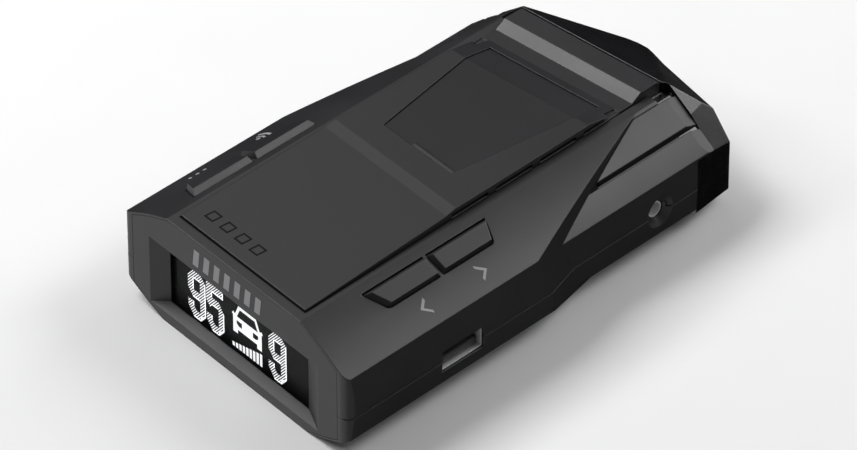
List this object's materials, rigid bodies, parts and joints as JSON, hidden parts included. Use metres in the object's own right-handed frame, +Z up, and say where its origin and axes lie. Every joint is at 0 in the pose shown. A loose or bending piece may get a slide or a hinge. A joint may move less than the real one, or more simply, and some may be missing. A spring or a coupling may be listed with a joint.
{
  "type": "radar detector",
  "caption": "Low black windscreen radar detector: recessed display end, raised top cover with bracket seat, flank push buttons, USB socket, power jack and faceted nose.",
  "frame": {"origin": "centre of the footprint at the underside of the housing", "axes": "+X towards the side with the sockets, +Y along the length towards the windscreen end, +Z up"},
  "size_m": [0.0778, 0.1341, 0.0305],
  "materials": {
    "housing_black": "fine-grained moulded black",
    "cover_black": "smooth satin black",
    "seat_black": "fine matt black",
    "bezel_black": "satin black",
    "nose_black": "gloss, infrared-transparent black",
    "button_black": "satin black",
    "window_smoke": "clear smoked glass",
    "display_dark": "dark display glass",
    "holder_black": "matt",
    "polyimide": "amber polyimide film",
    "nickel": "bright nickel plating",
    "socket_plastic": "moulded insulator",
    "contact_gold": "gold-plated contact",
    "magnet_nickel": "nickel-plated magnet",
    "circuit_green": "solder mask over fibreglass",
    "chip_black": "moulded epoxy",
    "patch_ceramic": "unglazed ceramic with silvered patch",
    "switch_metal": "pressed steel cover",
    "speaker_steel": "black frame",
    "speaker_paper": "treated cone",
    "horn_zinc": "die-cast, tumbled",
    "can_tin": "tinned screening can",
    "lens_infrared": "infrared-pass polycarbonate",
    "screw_steel": "blackened steel"
  },
  "bodies": {
    "housing": {"top_shell": "housing_black", "bottom_shell": "housing_black", "top_cover": "cover_black", "mount_seat": "seat_black", "seat_magnets": "magnet_nickel", "display_bezel": "bezel_black", "display_window": "window_smoke", "display_panel": "display_dark", "display_holder": "holder_black", "display_flex": "polyimide", "nose_cap": "nose_black", "rear_panel_right": "housing_black", "rear_panel_left": "housing_black", "key_board_right": "circuit_green", "key_board_left": "circuit_green", "key_switches": "switch_metal", "usb_shell": "nickel", "usb_tongue": "socket_plastic", "usb_contacts": "contact_gold", "jack_body": "socket_plastic", "jack_sleeve": "nickel", "jack_spring": "contact_gold", "main_board": "circuit_green", "board_chips": "chip_black", "gps_antenna": "patch_ceramic", "speaker_frame": "speaker_steel", "speaker_cone": "speaker_paper", "speaker_magnet": "magnet_nickel", "horn_antenna": "horn_zinc", "microwave_module": "can_tin", "laser_lens": "lens_infrared", "laser_sensor": "circuit_green", "case_screws": "screw_steel", "board_screws": "screw_steel"},
    "button_prev_body": {"button_prev": "button_black"},
    "button_next_body": {"button_next": "button_black"},
    "button_menu_body": {"button_menu": "button_black"},
    "button_volume_body": {"button_volume": "button_black"}
  },
  "joints": [
    {"name": "button_prev_press", "type": "slide", "parent": "housing", "child": "button_prev_body", "axis": [-0.416, 0, -0.9093], "range_m": [0, 0.00045], "stiffness_N_per_m": 2000, "springref_m": -0.0001},
    {"name": "button_next_press", "type": "slide", "parent": "housing", "child": "button_next_body", "axis": [-0.416, 0, -0.9093], "range_m": [0, 0.00045], "stiffness_N_per_m": 2000, "springref_m": -0.0001},
    {"name": "button_menu_press", "type": "slide", "parent": "housing", "child": "button_menu_body", "axis": [0.416, 0, -0.9093], "range_m": [0, 0.00045], "stiffness_N_per_m": 2000, "springref_m": -0.0001},
    {"name": "button_volume_press", "type": "slide", "parent": "housing", "child": "button_volume_body", "axis": [0.416, 0, -0.9093], "range_m": [0, 0.00045], "stiffness_N_per_m": 2000, "springref_m": -0.0001}
  ]
}
